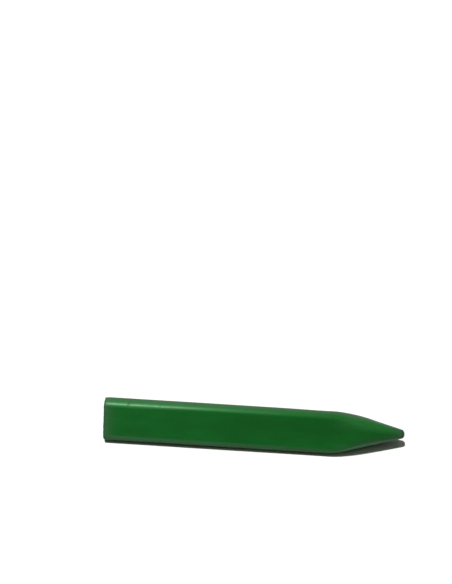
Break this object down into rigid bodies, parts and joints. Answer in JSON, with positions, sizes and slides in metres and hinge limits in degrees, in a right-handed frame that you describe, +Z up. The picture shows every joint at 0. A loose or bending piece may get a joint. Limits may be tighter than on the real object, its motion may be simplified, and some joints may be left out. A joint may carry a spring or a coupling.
{
  "type": "triangular wax crayon",
  "caption": "Solid stick of dark green wax with a rounded triangular section and a blunt conical point, for drawing and colouring on paper.",
  "frame": {"origin": "On the surface the crayon lies on, under the middle of its length and width (centre of the bounding box's base).", "axes": "+X along the stick towards its point, +Z up from the flat side it lies on, +Y across the stick."},
  "size_m": [0.09, 0.013, 0.0119],
  "materials": {
    "green_wax": "satin, waxy, slightly translucent; paler and rough on the rear face"
  },
  "bodies": {
    "root": {"wax_stick": "green_wax"}
  },
  "joints": []
}
